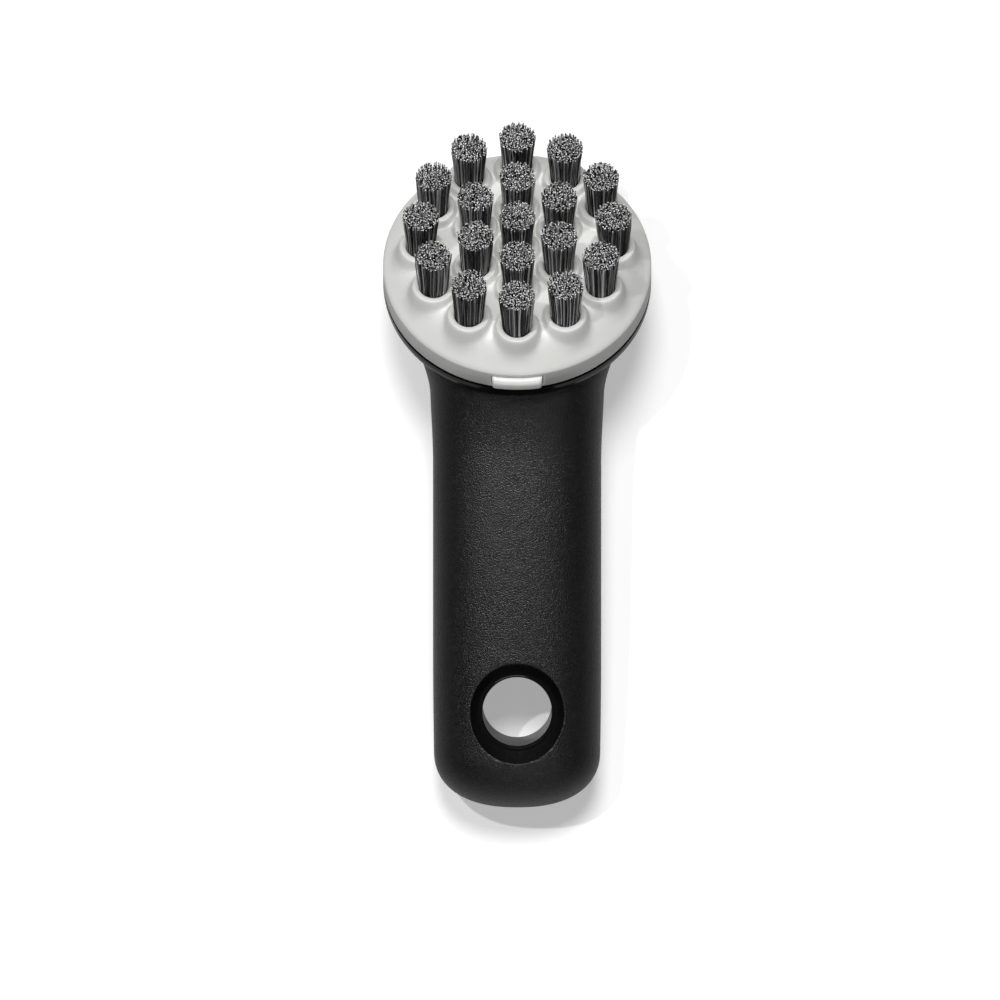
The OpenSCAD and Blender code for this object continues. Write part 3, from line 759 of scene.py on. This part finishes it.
TAB_IN_Y = 12.4
TAB_OUT_R = 27.1
TAB_BROW = 1.1
TAB_EDGE = 0.5
TAB_CORNER = 0.7
TAB_BEVEL = 0.22
TAB_WHITE = (0.67, 0.67, 0.66)
TAB_BRIGHT = (0.71, 0.71, 0.70)
TAB_PATCH = 0.003
TAB_CLOUD = 0.002
TAB_DETAIL = 2.0
TAB_CORNER_STEPS = 7
TAB_FACE_STEPS = 17
TAB_BEVEL_STEPS = 3
TAB_BEVEL_ANGLE = 50
LEG_OUT_R = 23.2
LEG_IN_R = 21.9
LEG_TOP_Z = 2.2
TOOTH_R = 24.3
TOOTH_Z = (-1.15, -2.1)


def arc(centre_r, centre_z, r, start, end, steps=8):
    """Points of an arc in a profile of radius and height, between two angles in degrees."""
    turns = np.radians(np.linspace(start, end, steps))
    return [(centre_r + r * math.cos(a), centre_z + r * math.sin(a)) for a in turns]


tab_profile = [
    (TAB_IN_Y, TAB_TOP_Z),
    *arc(TAB_OUT_R - TAB_BROW, TAB_TOP_Z - TAB_BROW, TAB_BROW, 90, 0),
    *arc(TAB_OUT_R - TAB_EDGE, TAB_BOTTOM_Z + TAB_EDGE, TAB_EDGE, 0, -90),
    (TAB_IN_Y, TAB_BOTTOM_Z),
]
corner_turns = np.linspace(0, math.pi / 2, TAB_CORNER_STEPS)
tab_side = [(TAB_W / 2 - TAB_CORNER * (1 - math.sin(a)), TAB_CORNER * (1 - math.cos(a)))
            for a in corner_turns]
tab_columns = [(-x, inset) for x, inset in reversed(tab_side)]
tab_face = np.linspace(-TAB_W / 2 + TAB_CORNER, TAB_W / 2 - TAB_CORNER, TAB_FACE_STEPS)
tab_columns += [(x, 0.0) for x in tab_face[1:-1]]
tab_columns += tab_side
tab_rings = []
for x, inset in tab_columns:
    tab_rings.append([(x, -max(TAB_IN_Y, math.sqrt(r * r - x * x) - inset) if r > TAB_IN_Y else -TAB_IN_Y, z)
                      for r, z in tab_profile])
tab_piece = ringed_piece("thumb_tab", tab_rings, ON_HEAD)
leg_profile = [(LEG_OUT_R, LEG_TOP_Z), (LEG_OUT_R, TOOTH_Z[0]), (TOOTH_R, TOOTH_Z[0]),
               (LEG_OUT_R, TOOTH_Z[1]), (LEG_IN_R, TOOTH_Z[1]), (LEG_IN_R, LEG_TOP_Z)]
leg_rings = [[(x, -r, z) for r, z in leg_profile] for x in (-LEG_W / 2, LEG_W / 2)]
join(tab_piece, [ringed_piece("tab_leg", leg_rings, ON_HEAD)])
soften = tab_piece.modifiers.new("soften", "BEVEL")
soften.width = TAB_BEVEL * MM
soften.segments = TAB_BEVEL_STEPS
soften.limit_method = "ANGLE"
soften.angle_limit = math.radians(TAB_BEVEL_ANGLE)
bake_modifiers(tab_piece)
smooth(tab_piece, MOULDED_SHARP)

dress(tab_piece, satin_plastic("tab_white", TAB_WHITE, TAB_BRIGHT, TAB_PATCH, TAB_CLOUD, TAB_DETAIL))
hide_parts("release_tab")
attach(tab_piece, "release_tab")

# The floor, the light and the camera: a plain white sheet, a broad softbox above and behind the head, a
# smaller key light from the upper left, a weak fill from the front, and a long lens that looks straight down.

FLOOR_SIZE = 3.0
FLOOR_WHITE = 0.74
FLOOR_GLOW = 0.36
FLOOR_BOUNCE = 0.28
FLOOR_GLOSS = 0.35
floor_mesh = bpy.data.meshes.new("floor")
reach = FLOOR_SIZE / 2
floor_corners = [(-reach, -reach, 0), (reach, -reach, 0), (reach, reach, 0), (-reach, reach, 0)]
floor_mesh.from_pydata(floor_corners, [], [(0, 1, 2, 3)])
floor_piece = bpy.data.objects.new("floor", floor_mesh)
bpy.context.scene.collection.objects.link(floor_piece)
floor_paint = plastic("floor_white", (FLOOR_WHITE,) * 3, 1.0, 0.0)
floor_nodes = floor_paint.node_tree
floor_shader = floor_nodes.nodes["Principled BSDF"]
floor_shader.inputs["Emission Color"].default_value = (1, 1, 1, 1)
seen = floor_nodes.nodes.new("ShaderNodeLightPath")
shown = floor_nodes.nodes.new("ShaderNodeMath")
shown.operation = "MULTIPLY_ADD"
shown.inputs[1].default_value = FLOOR_GLOSS
floor_nodes.links.new(seen.outputs["Is Glossy Ray"], shown.inputs[0])
floor_nodes.links.new(seen.outputs["Is Camera Ray"], shown.inputs[2])
for socket, low, high in (("Base Color", FLOOR_BOUNCE, FLOOR_WHITE), ("Emission Strength", 0.0, FLOOR_GLOW)):
    shade = floor_nodes.nodes.new("ShaderNodeMapRange")
    shade.inputs["To Min"].default_value = low
    shade.inputs["To Max"].default_value = high
    floor_nodes.links.new(shown.outputs["Value"], shade.inputs["Value"])
    floor_nodes.links.new(shade.outputs["Result"], floor_shader.inputs[socket])
floor_mesh.materials.append(floor_paint)

LAMPS = {
    "softbox": ((0.0, 0.48, 0.88), 18, 2.45),
    "key": ((-0.36, 0.36, 1.0), 1.6, 1.05),
    "fill": ((0.1, -0.72, 0.68), 25, 0.5),
}
for name, (from_where, softness, strength) in LAMPS.items():
    lamp = bpy.data.lights.new(name, "SUN")
    lamp.energy = strength
    lamp.angle = math.radians(softness)
    lamp_piece = bpy.data.objects.new(name, lamp)
    lamp_piece.rotation_euler = Vector(from_where).to_track_quat("Z", "Y").to_euler()
    bpy.context.scene.collection.objects.link(lamp_piece)

STUDIO_LEVEL = 0.03
BACKDROP_LEVEL = 1.0
world = bpy.data.worlds.new("studio")
bpy.context.scene.world = world
world.use_nodes = True
sky_nodes = world.node_tree
sky = sky_nodes.nodes["Background"]
sky.inputs["Color"].default_value = (1, 1, 1, 1)
path = sky_nodes.nodes.new("ShaderNodeLightPath")
level = sky_nodes.nodes.new("ShaderNodeMapRange")
level.inputs["To Min"].default_value = STUDIO_LEVEL
level.inputs["To Max"].default_value = BACKDROP_LEVEL
sky_nodes.links.new(path.outputs["Is Camera Ray"], level.inputs["Value"])
sky_nodes.links.new(level.outputs["Result"], sky.inputs["Strength"])

SENSOR = 36.0
PIXELS = 1000
PIXELS_PER_MM = 5.165
MIDDLE_PX = 517.1
HANDLE_END_PX = 807
CAMERA_HEIGHT = 7.0
view_mm = PIXELS / PIXELS_PER_MM
camera = bpy.data.cameras.new("camera")
camera.sensor_width = SENSOR
camera.lens = SENSOR * CAMERA_HEIGHT / (view_mm * MM)
camera_piece = bpy.data.objects.new("camera", camera)
camera_piece.location = (
    (PIXELS / 2 - MIDDLE_PX) / PIXELS_PER_MM * MM,
    (HANDLE_END_Y + (HANDLE_END_PX - PIXELS / 2) / PIXELS_PER_MM) * MM,
    CAMERA_HEIGHT,
)
bpy.context.scene.collection.objects.link(camera_piece)
bpy.context.scene.camera = camera_piece
bpy.context.scene.view_settings.view_transform = "Standard"
